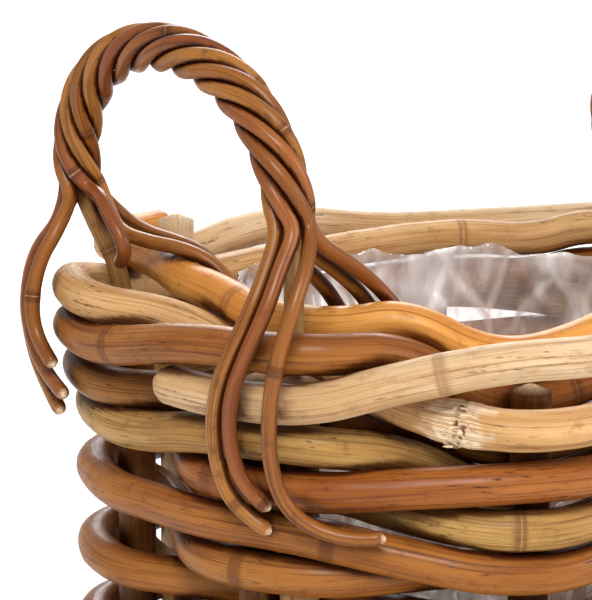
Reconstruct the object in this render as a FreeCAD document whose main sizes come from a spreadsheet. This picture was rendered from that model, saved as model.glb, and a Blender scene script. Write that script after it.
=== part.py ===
import FreeCAD, Part
import itertools
import math
import os
import Sketcher

# A slightly oval basket woven from thick rattan canes round upright stakes, with two roped handles, a
# stout base and a clear film liner. Millimetres. +Z is up, the floor is z = 0, the basket's middle is
# the Z axis and the handles stand at its -X and +X ends. Each end is half a circle, and the long sides
# are straight between them. An azimuth is measured about the centre of the end that it lies on.

DIMENSIONS = (
    ("stake_circle_radius", 196.0, "centre of a basket end to the centre of each of its stakes"),
    ("side_length", 76.0, "straight part of each long side, between the two ends"),
    ("stake_diameter", 24.0, "upright stakes"),
    ("stake_top", 342.0, "top of an ordinary stake above the floor"),
    ("tall_stake_top", 390.0, "top of the stake that stands out of the border"),
    ("short_stake_top", 345.0, "top of a stake that carries a handle leg"),
    ("pair_spacing", 28.6, "between the centres of two stakes side by side"),
    ("cane_diameter", 24.5, "weaving and border canes"),
    ("cane_gap", 1.0, "between one row of canes and the next"),
    ("side_clearance", 0.5, "between a cane and the stake that it passes"),
    ("border_flare", 14.0, "how much further out the border canes pass"),
    ("seam_gap", 3.0, "between the two butted ends of one cane"),
    ("runner_width", 44.0, "base runners"),
    ("runner_thickness", 10.0, "base runners"),
    ("runner_offset", 105.0, "centre of a basket end to the middle of its runner"),
    ("hoop_diameter", 24.0, "canes of the two base hoops"),
    ("floor_stick_diameter", 20.0, "sticks of the basket's floor"),
    ("floor_stick_pitch", 44.0, "between the centres of two floor sticks"),
    ("floor_stick_clearance", 2.0, "between a floor stick's end and the inner hoop"),
    ("nail_diameter", 3.2, "nails through the outer hoop"),
    ("nail_head_diameter", 8.0, "nails through the outer hoop"),
    ("nail_head_thickness", 1.6, "nails through the outer hoop"),
    ("liner_radius", 154.0, "outside of the film liner at the basket's ends"),
    ("liner_thickness", 0.8, "film of the liner"),
    ("liner_top", 360.0, "top edge of the liner above the floor"),
    ("liner_rest_gap", 0.3, "between the floor sticks and the liner"),
    ("tack_head_diameter", 7.0, "tacks that hold the liner"),
    ("tack_head_thickness", 1.2, "tacks that hold the liner"),
    ("tack_head_lift", 0.5, "between a tack's head and the curved film behind it"),
    ("tack_drop", 26.0, "tacks below the liner's top edge"),
    ("core_diameter", 12.0, "rod inside each handle"),
    ("strand_diameter", 9.3, "strands roped round the handles"),
    ("lay_clearance", 0.5, "between a strand and the rod"),
    ("lay_length", 140.0, "handle length that one turn of a strand takes"),
)

STAKE_PITCH = 45.0
FIRST_STAKE = 22.5
STAKE_LETTERS = "GHSABDEF"
PAIRED_STAKES = "BF"
CHANNEL_HALF_ANGLE = {"B": 9.5, "F": 9.5, "A": 10.0, "G": 10.0}
ORDINARY_HALF_ANGLE = 7.5
SPAN_FULLNESS = 0.985
FLARE_START_ROW = 11.0
FLARE_ROWS = 1.2
ARC_SHARE = 0.45
LEAST_TURN = math.radians(0.4)
SIDE_MIDDLE = 0.001
STRAND_COUNT = 6
LAY_STEPS_PER_TURN = 10
TACK_COUNT = 8

# One entry for each cane: its route, and how far it runs past its first and last stakes in degrees.
# A route names the stakes in the order that the cane meets them. + is outside the stake, - inside,
# and the number is the height in rows. ~ is the height halfway to the next stake, where it isn't the
# mean of its neighbours. A cane with no run-on closes on itself and its ends butt inside its first
# stake.
WALL_CANES = {
    "side_row_1": ("G-1 H+1 S-1 A+1 B-1 D+1 E-1 F+1", None),
    "side_row_2": ("H-2 S+2 A-2 B+2 D-2 E+2 F-2 G+2", None),
    "side_row_3": ("G-3 H+3 S-3 A+3 B-3 D+3 E-3 F+3", None),
    "side_row_4": ("H-4 S+4 A-4 B+4 D-4 E+4 F-4 G+4", None),
    "side_row_5": ("G-5 H+5 S-5 A+5 B-5 D+5 E-5 F+5", None),
    "side_row_6": ("H-6 S+6 A-6 B+6 D-6 E+6 F-6 G+6", None),
    "side_row_7": ("G-7 H+7 S-7 A+7 B-7 D+7 E-7 F+7", None),
    "side_row_8": ("H-8 S+8 ~8 A-8.1 B+8.1 D-8 ~7.95 E+8 F-8 G+8", None),
    "side_row_9": ("G-9 H+9 S-9 ~9.05 A+9 B+9.15 D+8.3 ~9 E-9.15 F+9", None),
    "side_row_10": ("H-10 S+10 ~10 A-10.2 B+10.15 D+10.5 ~10.6 E+10.4 F-10 G+10", None),
    "side_row_11": ("G-11.1 H+11 ~11.03 S-10.8 ~11.05 A+10.65 "
                    "~10.8 B+11.3 ~10.95 D-9.8 ~10.9 E-11.2 F-11.05", None),
    "packing_cane": ("B-9.65 D+9.35 ~10.05 E-10.2", (1.0, 1.0)),
    "border_cane_low": ("A+11.6 ~11.7 B-11.4 ~11.56 D-10.85 "
                        "~11.9 E+11.5 F+11.1 G+11.5", (1.0, 12.0)),
    "border_cane_pale": ("B+12.3 ~12.95 D+13.5 E+13.5 F+13.35 ~13.3 G+13.1 H+12.75 ~13.5 S+12.6", (8.0, 3.0)),
    "border_cane_tan": ("E-12.6 F-12.3 G-12.3 ~11.84 H-11.85 S-11.85 ~12.02 "
                        "A+12.7 ~13.02 B+13.5 ~13.45 D-11.95 ~12.75", None),
    "border_cane_bent": ("B-12.5 ~12.04 D+11.8 ~12.45 E+12.5 F+12.2 ~12.85 "
                         "G-13.35 ~12.85 H-12.95 ~12.9 S-12.85 ~13.05 A+13.7 ~13.55", None),
    "border_cane_top": ("S+13.75 ~14.06 A-14.05 ~13.95 B-13.6 "
                        "~13.95 D-13.0 ~13.8 E-13.7 F-13.4", (2.0, 6.0)),
}

# The handle rod, seen from outside: across the handle, out from the end's centre, and up.
BOW = (
    (-94, 172, 292), (-95, 173, 340), (-100, 176, 380), (-112, 186, 408), (-122, 194, 440),
    (-117, 195, 477), (-92, 196, 509), (-51, 195, 528), (-2, 196, 531), (43, 195, 520),
    (79, 196, 498), (100, 195, 468), (104, 192, 436), (97, 186, 407), (88, 179, 378), (85, 177, 346),
)
LAY_START = 142.0
LAY_END = 478.0
LAY_START_ANGLE = 20.0

# The loose ends of the six strands, from the roped part outwards. Each point is an azimuth in
# degrees, a radius and a height. The first three of each list run down outside the border, and
# the last three are tucked inside it.
LEFT_ENDS = (
    ((147.3, 240, 408), (147.2, 256, 388), (147.2, 262, 360), (149.2, 259, 330), (154, 252, 309),
     (160.5, 247, 296)),
    ((151.6, 242, 409), (151.3, 257, 388), (151.6, 263, 359), (153.4, 259, 332), (157.6, 252, 316),
     (163.5, 248, 310)),
    ((155, 242, 410), (155.6, 256, 388), (156.2, 262, 360), (157.8, 258, 338), (161.5, 252, 327)),
    ((151.2, 209, 418), (154.7, 204, 405), (159.5, 189, 401), (165.5, 171, 399), (171, 154, 389),
     (174.5, 147, 374)),
    ((148.6, 200, 411), (152.5, 186, 403), (158, 171, 400), (163.5, 157, 395), (168, 149, 382),
     (170.5, 147, 368)),
    ((155.5, 216, 429), (159.5, 213, 418), (162.5, 208, 405), (162, 206, 394), (158.5, 207, 387)),
)
RIGHT_ENDS = (
    ((207, 238, 420), (206.2, 256, 394), (203.8, 261, 369), (201.6, 260, 346), (200.2, 254, 320),
     (200.2, 247, 292), (202.4, 243, 272), (207.5, 241, 260)),
    ((209.2, 240, 421), (208.6, 257, 396), (206.2, 261, 371), (204, 260, 348), (202.6, 254, 323),
     (202.8, 247, 297), (204.8, 243, 282), (207.4, 241, 274)),
    ((212.7, 237, 421), (212, 255, 397), (210.4, 261, 369), (209, 259, 334), (208.6, 251, 298),
     (211, 245, 272), (218.3, 241, 259), (224, 239, 262)),
    ((207, 194, 421), (209.5, 172, 407), (214, 153, 388), (219, 148, 365), (223.6, 147, 346)),
    ((210.8, 198, 424), (213.6, 176, 411), (218.2, 156, 393), (223.6, 149, 373), (228.8, 147, 355)),
    ((203.2, 191, 415), (204.6, 169, 402), (208.2, 151, 380), (212, 148, 355)),
)


def end_of(azimuth):
    """Return 1 at the +X end, -1 at the -X end and 0 halfway along a straight side."""
    along = math.cos(math.radians(azimuth))
    return (along > SIDE_MIDDLE) - (along < -SIDE_MIDDLE)


def direction(azimuth):
    """Return the level direction at an azimuth in degrees."""
    turn = math.radians(azimuth)
    return FreeCAD.Vector(math.cos(turn), math.sin(turn), 0)


def vector(sheet, azimuth, radius, height):
    """Return the point at an azimuth in degrees, a radius and a height."""
    centre = FreeCAD.Vector(end_of(azimuth) * sheet.side_length / 2, 0, height)
    return centre + direction(azimuth) * radius


def make_sheet(doc):
    """Put the driving dimensions into a spreadsheet and return it."""
    sheet = doc.addObject("Spreadsheet::Sheet", "Dimensions")
    for row, (alias, value, note) in enumerate(DIMENSIONS, start=1):
        sheet.set(f"A{row}", alias)
        sheet.set(f"B{row}", str(value))
        sheet.set(f"C{row}", note)
        sheet.setAlias(f"B{row}", alias)
    doc.recompute()
    return sheet


def bind(item, **expressions):
    """Bind properties of an object to the spreadsheet. A double underscore stands for a dot."""
    for name, expression in expressions.items():
        item.setExpression(name.replace("__", "."), expression)


def labelled(item, label):
    """Give a finished sub-part its node name."""
    item.Label = label
    return item


# ---- paths -----------------------------------------------------------------------------------------

def rounded_edges(points):
    """Return straight runs joined by tangent arcs, as edges, through a list of corner points."""
    edges = []
    start = points[0]
    for before, corner, after in zip(points, points[1:], points[2:]):
        into = corner - before
        out = after - corner
        turn = into.getAngle(out)
        if turn < LEAST_TURN:
            continue
        trim = ARC_SHARE * min(into.Length, out.Length)
        into.normalize()
        out.normalize()
        first = corner - into * trim
        last = corner + out * trim
        radius = trim / math.tan(turn / 2)
        inward = (out - into).normalize()
        middle = corner + inward * (radius / math.cos(turn / 2) - radius)
        edges.append(Part.LineSegment(start, first).toShape())
        edges.append(Part.Arc(first, middle, last).toShape())
        start = last
    edges.append(Part.LineSegment(start, points[-1]).toShape())
    return edges


def sweep_edges(doc, label, edges, tangent, diameter):
    """Sweep a round section, bound to the named diameter, along a chain of edges."""
    path = doc.addObject("Part::Feature", f"{label}_path")
    path.Shape = Part.Wire(edges)
    section = doc.addObject("Part::Circle", f"{label}_section")
    bind(section, Radius=f"Dimensions.{diameter} / 2")
    facing = FreeCAD.Rotation(FreeCAD.Vector(0, 0, 1), tangent)
    section.Placement = FreeCAD.Placement(edges[0].firstVertex().Point, facing)
    cane = doc.addObject("Part::Sweep", label)
    cane.Sections = [section]
    cane.Spine = (path, [f"Edge{number}" for number in range(1, len(edges) + 1)])
    cane.Solid = True
    cane.Frenet = False
    return labelled(cane, label)


def sweep_round(doc, label, points, diameter):
    """Sweep a round section along straight runs joined by arcs."""
    return sweep_edges(doc, label, rounded_edges(points), points[1] - points[0], diameter)


# ---- the weave -------------------------------------------------------------------------------------

def row_pitch(sheet):
    """Height between two rows of canes."""
    return sheet.cane_diameter + sheet.cane_gap


def row_height(sheet, row):
    """Height of the middle of a row. Row 0 is level with the base hoops."""
    return sheet.runner_thickness + sheet.hoop_diameter / 2 + row * row_pitch(sheet)


def pass_radius(sheet, letter, outside, row):
    """Radius at which a cane passes a stake."""
    reach = (sheet.stake_diameter + sheet.cane_diameter) / 2 + sheet.side_clearance
    if outside:
        flare = min(1.0, max(0.0, (row - FLARE_START_ROW) / FLARE_ROWS))
        return sheet.stake_circle_radius + reach + sheet.border_flare * flare
    if letter in PAIRED_STAKES:
        half = sheet.pair_spacing / 2
        reach += sheet.stake_circle_radius - math.sqrt(sheet.stake_circle_radius ** 2 - half ** 2)
        reach += sheet.side_clearance
    return sheet.stake_circle_radius - reach


def read_route(route):
    """Return the stations of a route as (letter, outside, row), and its halfway rows by station."""
    stations = []
    halfway = {}
    for word in route.split():
        if word[0] == "~":
            halfway[len(stations) - 1] = float(word[1:])
        else:
            stations.append((word[0], word[1] == "+", float(word[2:])))
    return stations, halfway


def cane_points(sheet, route, run_on):
    """Return the corner points of one cane's path round the basket."""
    stations, halfway = read_route(route)
    if run_on is None:
        stations.append(stations[0])
    rings = []
    azimuth = FIRST_STAKE + STAKE_PITCH * STAKE_LETTERS.index(stations[0][0])
    for letter, outside, row in stations:
        half = CHANNEL_HALF_ANGLE.get(letter, ORDINARY_HALF_ANGLE)
        radius = pass_radius(sheet, letter, outside, row)
        rings.append((azimuth, radius, row, half))
        azimuth += STAKE_PITCH
    points = []
    for number, (azimuth, radius, row, half) in enumerate(rings):
        corner = radius / math.cos(math.radians(half))
        height = row_height(sheet, row)
        points.append((azimuth - half, corner, height))
        points.append((azimuth + half, corner, height))
        if number + 1 < len(rings):
            next_azimuth, next_radius, next_row, _ = rings[number + 1]
            middle_row = halfway.get(number, (row + next_row) / 2)
            middle_radius = SPAN_FULLNESS * (radius + next_radius) / 2
            points.append(((azimuth + next_azimuth) / 2, middle_radius, row_height(sheet, middle_row)))
    if run_on is None:
        seam = math.degrees(sheet.seam_gap / 2 / rings[0][1])
        points[0] = (rings[0][0] + seam, rings[0][1], points[0][2])
        points[-1] = (rings[-1][0] - seam, rings[-1][1], points[-1][2])
    else:
        first, last = points[0], points[-1]
        tuck = SPAN_FULLNESS ** 3
        points.insert(0, (first[0] - run_on[0], first[1] * tuck, first[2]))
        points.append((last[0] + run_on[1], last[1] * tuck, last[2]))
    return [vector(sheet, *point) for point in points]


def make_wall(doc, sheet):
    """Weave every cane of the side and the border."""
    return [sweep_round(doc, name, cane_points(sheet, route, run_on), "cane_diameter")
            for name, (route, run_on) in WALL_CANES.items()]


# ---- stakes ----------------------------------------------------------------------------------------

def make_stake(doc, label, end, azimuth, top):
    """Stand one stake on the runners' level, its height bound to the named top."""
    stake = doc.addObject("Part::Cylinder", label)
    centre = f"{end} * Dimensions.side_length / 2"
    bind(stake,
         Radius="Dimensions.stake_diameter / 2",
         Height=f"Dimensions.{top} - Dimensions.runner_thickness",
         Placement__Base__x=f"{centre} + Dimensions.stake_circle_radius * cos({azimuth})",
         Placement__Base__y=f"Dimensions.stake_circle_radius * sin({azimuth})",
         Placement__Base__z="Dimensions.runner_thickness")
    return labelled(stake, label)


def make_stakes(doc):
    """Stand single stakes round the basket, and a pair at one leg of each handle."""
    half_pair = "asin(Dimensions.pair_spacing / 2 / Dimensions.stake_circle_radius)"
    stakes = []
    for number, letter in enumerate(STAKE_LETTERS):
        azimuth = FIRST_STAKE + STAKE_PITCH * number
        label = f"stake_{number + 1}"
        end = end_of(azimuth)
        if letter in PAIRED_STAKES:
            aside = f"{end} * {half_pair}"
            stakes.append(make_stake(doc, label, end, f"({azimuth} deg + {aside})", "stake_top"))
            stakes.append(make_stake(doc, f"{label}_handle", end, f"({azimuth} deg - {aside})",
                                     "short_stake_top"))
        else:
            top = "tall_stake_top" if letter == "S" else "stake_top"
            stakes.append(make_stake(doc, label, end, f"({azimuth} deg)", top))
    return stakes


# ---- base ------------------------------------------------------------------------------------------

def hoop_radius(sheet, side):
    """Centre radius of the base hoop outside (side 1) or inside (side -1) the stakes."""
    reach = (sheet.stake_diameter + sheet.hoop_diameter) / 2 + sheet.side_clearance
    return sheet.stake_circle_radius + side * reach


def make_hoop(doc, sheet, label, side):
    """Bend one base hoop round the stakes. Its ends butt in the middle of a long side."""
    radius = hoop_radius(sheet, side)
    height = sheet.runner_thickness + sheet.hoop_diameter / 2
    half_seam = FreeCAD.Vector(sheet.seam_gap / 2, 0, 0)
    edges = []
    start = FreeCAD.Vector(0, -radius, height) + half_seam
    for first in (-90, 90):
        middle = first + 90
        last = first + 180
        end = FreeCAD.Vector(math.copysign(sheet.side_length / 2, -first), 0, height)
        corners = [end + direction(angle) * radius for angle in (first, middle, last)]
        edges.append(Part.LineSegment(start, corners[0]).toShape())
        edges.append(Part.Arc(*corners).toShape())
        start = corners[2]
    edges.append(Part.LineSegment(start, FreeCAD.Vector(0, -radius, height) - half_seam).toShape())
    return sweep_edges(doc, label, edges, FreeCAD.Vector(1, 0, 0), "hoop_diameter")


def nail_shape(sheet, azimuth, with_head):
    """Return one nail, or the hole for it, driven inwards through the outer hoop."""
    inner = sheet.stake_circle_radius + sheet.stake_diameter / 2 + sheet.side_clearance
    outer = inner + sheet.hoop_diameter
    height = sheet.runner_thickness + sheet.hoop_diameter / 2
    outward = direction(azimuth)
    margin = 0 if with_head else sheet.hoop_diameter / 2
    shank = Part.makeCylinder(sheet.nail_diameter / 2, outer - inner + 2 * margin,
                              vector(sheet, azimuth, inner - margin, height), outward)
    if not with_head:
        return shank
    head = Part.makeCylinder(sheet.nail_head_diameter / 2, sheet.nail_head_thickness,
                             vector(sheet, azimuth, outer, height), outward)
    return shank.fuse(head).removeSplitter()


def nail_azimuths():
    """One nail for each stake, on the middle of a pair where there are two."""
    return [FIRST_STAKE + STAKE_PITCH * number for number in range(len(STAKE_LETTERS))]


def make_group(doc, label, shapes):
    """Make one node of several separate solids."""
    group = doc.addObject("Part::Feature", label)
    group.Shape = Part.makeCompound(shapes)
    return labelled(group, label)


def make_hoops(doc, sheet):
    """Make the inner hoop, the drilled outer hoop and the nails through it."""
    inner = make_hoop(doc, sheet, "base_hoop_inner", -1)
    blank = make_hoop(doc, sheet, "outer_hoop_blank", 1)
    holes = make_group(doc, "outer_hoop_holes", [nail_shape(sheet, a, False) for a in nail_azimuths()])
    outer = doc.addObject("Part::Cut", "base_hoop_outer")
    outer.Base = blank
    outer.Tool = holes
    nails = make_group(doc, "hoop_nails", [nail_shape(sheet, a, True) for a in nail_azimuths()])
    return [inner, labelled(outer, "base_hoop_outer"), nails]


def make_runners(doc):
    """Lay three flat runners under the hoops. Their undersides are the face that the basket rests on."""
    runners = []
    outer_edge = "(Dimensions.stake_circle_radius + Dimensions.stake_diameter / 2)"
    for label, end in (("base_runner_left", -1), ("base_runner_middle", 0), ("base_runner_right", 1)):
        runner = doc.addObject("Part::Box", label)
        middle = f"{end} * (Dimensions.side_length / 2 + Dimensions.runner_offset)"
        far_side = f"({abs(end)} * (Dimensions.runner_offset + Dimensions.runner_width / 2))"
        half_length = f"sqrt({outer_edge} ^ 2 - {far_side} ^ 2)"
        bind(runner,
             Length="Dimensions.runner_width",
             Width=f"2 * {half_length}",
             Height="Dimensions.runner_thickness",
             Placement__Base__x=f"{middle} - Dimensions.runner_width / 2",
             Placement__Base__y=f"-{half_length}")
        runners.append(labelled(runner, label))
    return runners


def make_floor_sticks(doc, sheet):
    """Lay the floor sticks side by side on the runners, inside the inner hoop."""
    reach = hoop_radius(sheet, -1) - sheet.hoop_diameter / 2 - sheet.floor_stick_clearance
    beside = int((reach - sheet.floor_stick_diameter) // sheet.floor_stick_pitch)
    inner_edge = ("(Dimensions.stake_circle_radius - Dimensions.stake_diameter / 2"
                  " - Dimensions.side_clearance - Dimensions.hoop_diameter"
                  " - Dimensions.floor_stick_clearance)")
    sticks = []
    for number, place in enumerate(range(-beside, beside + 1), start=1):
        label = f"floor_stick_{number}"
        stick = doc.addObject("Part::Cylinder", label)
        far_side = f"({abs(place)} * Dimensions.floor_stick_pitch + Dimensions.floor_stick_diameter / 2)"
        half_length = f"(Dimensions.side_length / 2 + sqrt({inner_edge} ^ 2 - {far_side} ^ 2))"
        stick.Placement = FreeCAD.Placement(FreeCAD.Vector(), FreeCAD.Rotation(FreeCAD.Vector(0, 1, 0), 90))
        bind(stick,
             Radius="Dimensions.floor_stick_diameter / 2",
             Height=f"2 * {half_length}",
             Placement__Base__x=f"-{half_length}",
             Placement__Base__y=f"{place} * Dimensions.floor_stick_pitch",
             Placement__Base__z="Dimensions.runner_thickness + Dimensions.floor_stick_diameter / 2")
        sticks.append(labelled(stick, label))
    return sticks


# ---- liner -----------------------------------------------------------------------------------------

def oval_sketch(body, name, sheet, radius, height):
    """Draw the basket's oval on a level plane, its radius and height bound to expressions."""
    sketch = body.newObject("Sketcher::SketchObject", name)
    plane = next(item for item in body.Origin.OriginFeatures if item.Role == "XY_Plane")
    sketch.AttachmentSupport = (plane, [""])
    sketch.MapMode = "FlatFace"
    bind(sketch, AttachmentOffset__Base__z=height)
    half = sheet.side_length / 2
    size = sheet.liner_radius
    up = FreeCAD.Vector(0, 0, 1)
    right = Part.Circle(FreeCAD.Vector(half, 0, 0), up, size)
    left = Part.Circle(FreeCAD.Vector(-half, 0, 0), up, size)
    back = Part.LineSegment(FreeCAD.Vector(half, size, 0), FreeCAD.Vector(-half, size, 0))
    front = Part.LineSegment(FreeCAD.Vector(-half, -size, 0), FreeCAD.Vector(half, -size, 0))
    quarter = math.pi / 2
    sketch.addGeometry([back, Part.ArcOfCircle(left, quarter, 3 * quarter), front,
                        Part.ArcOfCircle(right, -quarter, quarter)], False)
    start, end, centre, origin = 1, 2, 3, -1
    for first, second in ((0, 1), (1, 2), (2, 3), (3, 0)):
        sketch.addConstraint(Sketcher.Constraint("Tangent", first, end, second, start))
    sketch.addConstraint(Sketcher.Constraint("Horizontal", 0))
    sketch.addConstraint(Sketcher.Constraint("Symmetric", 1, centre, 3, centre, origin, start))
    straight = sketch.addConstraint(Sketcher.Constraint("Distance", 0, sheet.side_length))
    sketch.renameConstraint(straight, "straight")
    rounded = sketch.addConstraint(Sketcher.Constraint("Radius", 1, size))
    sketch.renameConstraint(rounded, "rounded")
    bind(sketch, Constraints__straight="Dimensions.side_length", Constraints__rounded=radius)
    return sketch


def make_liner(doc, sheet):
    """Make the film liner as a thin open cup that stands on the floor sticks."""
    body = doc.addObject("PartDesign::Body", "film_liner")
    bottom = "(Dimensions.runner_thickness + Dimensions.floor_stick_diameter + Dimensions.liner_rest_gap)"
    skin = body.newObject("PartDesign::Pad", "liner_skin")
    skin.Profile = oval_sketch(body, "liner_outside", sheet, "Dimensions.liner_radius", bottom)
    bind(skin, Length=f"Dimensions.liner_top - {bottom}")
    doc.recompute()
    hollow = body.newObject("PartDesign::Pocket", "liner_hollow")
    hollow.Profile = oval_sketch(body, "liner_inside", sheet,
                                 "Dimensions.liner_radius - Dimensions.liner_thickness",
                                 "Dimensions.liner_top")
    bind(hollow, Length=f"Dimensions.liner_top - {bottom} - Dimensions.liner_thickness")
    return labelled(body, "film_liner")


def make_tacks(doc, sheet):
    """Press the tack heads against the inside of the film, just below its top edge."""
    inside = sheet.liner_radius - sheet.liner_thickness
    height = sheet.liner_top - sheet.tack_drop
    heads = []
    for number in range(TACK_COUNT):
        azimuth = STAKE_PITCH * number
        foot = vector(sheet, azimuth, inside - sheet.tack_head_lift, height)
        heads.append(Part.makeCylinder(sheet.tack_head_diameter / 2, sheet.tack_head_thickness,
                                       foot, direction(azimuth) * -1))
    return make_group(doc, "liner_tacks", heads)


# ---- handles ---------------------------------------------------------------------------------------

def bow_points(sheet):
    """Return the handle rod's corner points at the -X end."""
    return [FreeCAD.Vector(-out - sheet.side_length / 2, -across, up) for across, out, up in BOW]


def point_along(edges, distance):
    """Return the point and the tangent at a distance along a chain of edges."""
    for edge in edges:
        if distance <= edge.Length or edge is edges[-1]:
            parameter = edge.getParameterByLength(min(distance, edge.Length))
            return edge.valueAt(parameter), edge.tangentAt(parameter)
        distance -= edge.Length
    return None


def lay_points(sheet, edges, phase):
    """Return the corner points of one strand where it winds round the rod."""
    radius = (sheet.core_diameter + sheet.strand_diameter) / 2 + sheet.lay_clearance
    radius /= math.cos(math.pi / LAY_STEPS_PER_TURN / 2)
    steps = round((LAY_END - LAY_START) / sheet.lay_length * LAY_STEPS_PER_TURN)
    points = []
    for step in range(steps + 1):
        distance = LAY_START + (LAY_END - LAY_START) * step / steps
        centre, tangent = point_along(edges, distance)
        outward = FreeCAD.Vector(-1, 0, 0)
        across = tangent.cross(outward).normalize()
        outward = across.cross(tangent).normalize()
        angle = math.radians(phase + LAY_START_ANGLE - 360.0 * step / LAY_STEPS_PER_TURN)
        points.append(centre + outward * (radius * math.cos(angle)) + across * (radius * math.sin(angle)))
    return points


def at_end(points, end):
    """Return points of the -X end for the end given: as they are for -1, and mirrored for 1."""
    return [FreeCAD.Vector(-end * point.x, point.y, point.z) for point in points]


def matched(starts, ends):
    """Give each strand the loose end that keeps all the ways across shortest."""
    def total(order):
        return sum(start.distanceToPoint(ends[number][0]) for start, number in zip(starts, order))

    best = min(itertools.permutations(range(len(ends))), key=total)
    return [ends[number] for number in best]


def make_handle(doc, sheet, side, end):
    """Make one handle: the bow's rod and the six strands roped round it."""
    edges = rounded_edges(bow_points(sheet))
    parts = [sweep_round(doc, f"{side}_handle_rod", at_end(bow_points(sheet), end), "core_diameter")]
    windings = [lay_points(sheet, edges, 360.0 * number / STRAND_COUNT) for number in range(STRAND_COUNT)]
    left = [[vector(sheet, *point) for point in route] for route in LEFT_ENDS]
    right = [[vector(sheet, *point) for point in route] for route in RIGHT_ENDS]
    left_choice = matched([winding[0] for winding in windings], left)
    right_choice = matched([winding[-1] for winding in windings], right)
    for number, winding in enumerate(windings):
        points = left_choice[number][::-1] + winding + right_choice[number]
        parts.append(sweep_round(doc, f"{side}_handle_strand_{number + 1}", at_end(points, end),
                                 "strand_diameter"))
    return parts


# ---- whole -----------------------------------------------------------------------------------------

def check(doc, nodes):
    """Stop if any object failed or any sub-part's shape is missing or broken."""
    for item in doc.Objects:
        if "Invalid" in item.State or "Error" in item.State:
            raise RuntimeError(f"{item.Label} failed: {item.State}")
    for node in nodes:
        if node.Shape.isNull() or not node.Shape.isValid() or not node.Shape.Solids:
            raise RuntimeError(f"{node.Label} has no valid solid")


def main():
    """Build the basket and write one STEP file for each sub-part."""
    doc = FreeCAD.newDocument("LogBasket")
    sheet = make_sheet(doc)
    nodes = make_stakes(doc)
    nodes += make_wall(doc, sheet)
    nodes += make_hoops(doc, sheet)
    nodes += make_runners(doc)
    nodes += make_floor_sticks(doc, sheet)
    nodes += [make_liner(doc, sheet), make_tacks(doc, sheet)]
    nodes += make_handle(doc, sheet, "left", -1)
    nodes += make_handle(doc, sheet, "right", 1)
    doc.recompute()
    check(doc, nodes)
    os.makedirs("parts", exist_ok=True)
    for node in nodes:
        node.Shape.exportStep(f"parts/{node.Label}.step")
        print(f"{node.Label}: {len(node.Shape.Solids)} solid(s), {node.Shape.Volume / 1000:.1f} cm3")
    print(f"{len(nodes)} sub-parts")


main()
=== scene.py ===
"""Looks of a woven rattan log basket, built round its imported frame.

Metres, +Z up, the floor at z = 0. The handles stand at the -X and +X ends. Each end of the basket is
half a circle, and the long sides are straight between them. An azimuth is in degrees about the
centre of the end that it lies on.
"""

import itertools
import logging
import math
from dataclasses import dataclass, field
from enum import Enum
from typing import Any, Iterable, Sequence

import bmesh
import bpy
import numpy as np
from mathutils import Matrix, Vector, noise
from mathutils.bvhtree import BVHTree

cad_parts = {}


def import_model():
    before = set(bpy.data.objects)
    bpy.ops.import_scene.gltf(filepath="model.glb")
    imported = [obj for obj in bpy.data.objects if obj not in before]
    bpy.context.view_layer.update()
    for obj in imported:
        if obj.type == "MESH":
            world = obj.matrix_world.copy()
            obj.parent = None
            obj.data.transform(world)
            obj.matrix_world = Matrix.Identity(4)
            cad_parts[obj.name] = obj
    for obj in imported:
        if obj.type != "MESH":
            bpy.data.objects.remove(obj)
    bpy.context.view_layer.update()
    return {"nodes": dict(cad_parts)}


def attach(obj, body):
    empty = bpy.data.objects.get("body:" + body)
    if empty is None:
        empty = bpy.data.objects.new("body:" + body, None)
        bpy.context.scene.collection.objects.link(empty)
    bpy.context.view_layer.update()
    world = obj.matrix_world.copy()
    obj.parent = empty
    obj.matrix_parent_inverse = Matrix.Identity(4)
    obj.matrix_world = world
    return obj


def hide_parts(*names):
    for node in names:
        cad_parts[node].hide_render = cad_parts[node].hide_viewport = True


logging.basicConfig(level=logging.INFO, format="%(message)s")
LOG = logging.getLogger("log_basket")

RGB = tuple[float, float, float]
BODY = "root"


# ---- layout ---------------------------------------------------------------------------------------

@dataclass(frozen=True)
class Plan:
    """Sizes that the whole basket shares, and the place of a point in it."""

    stake_circle: float = 0.196
    side_length: float = 0.076
    stake_thickness: float = 0.024
    stake_foot: float = 0.010
    cane_thickness: float = 0.0245
    row_pitch: float = 0.0255
    base_level: float = 0.022
    clearance: float = 0.0005
    flare: float = 0.014
    flare_start_row: float = 11.0
    flare_rows: float = 1.2
    pair_spacing: float = 0.0286
    stake_pitch: float = 45.0
    first_stake: float = 22.5
    seam_gap: float = 0.003
    span_fullness: float = 0.985
    letters: str = "GHSABDEF"
    paired: str = "BF"

    def end_of(self, azimuth: float) -> int:
        """Return 1 at the +X end, -1 at the -X end and 0 halfway along a straight side."""
        along = math.cos(math.radians(azimuth))
        return (along > 0.001) - (along < -0.001)

    def place(self, azimuth: float, radius: float, height: float) -> Vector:
        """Return the point at an azimuth in degrees, a radius and a height."""
        turn = math.radians(azimuth)
        centre = self.end_of(azimuth) * self.side_length / 2
        return Vector((centre + radius * math.cos(turn), radius * math.sin(turn), height))

    def row_height(self, row: float) -> float:
        """Return the height of the middle of a row."""
        return self.base_level + row * self.row_pitch

    def channel(self, letter: str) -> float:
        """Return the half angle over which a cane lies level as it passes a stake."""
        return {"B": 9.5, "F": 9.5, "A": 10.0, "G": 10.0}.get(letter, 7.5)

    def pass_radius(self, letter: str, outside: bool, row: float) -> float:
        """Return the radius at which a cane passes a stake."""
        reach = (self.stake_thickness + self.cane_thickness) / 2 + self.clearance
        if outside:
            flare = min(1.0, max(0.0, (row - self.flare_start_row) / self.flare_rows))
            return self.stake_circle + reach + self.flare * flare
        if letter in self.paired:
            half = self.pair_spacing / 2
            reach += self.stake_circle - math.sqrt(self.stake_circle ** 2 - half ** 2) + self.clearance
        return self.stake_circle - reach


PLAN = Plan()


# ---- node helpers ---------------------------------------------------------------------------------

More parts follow.
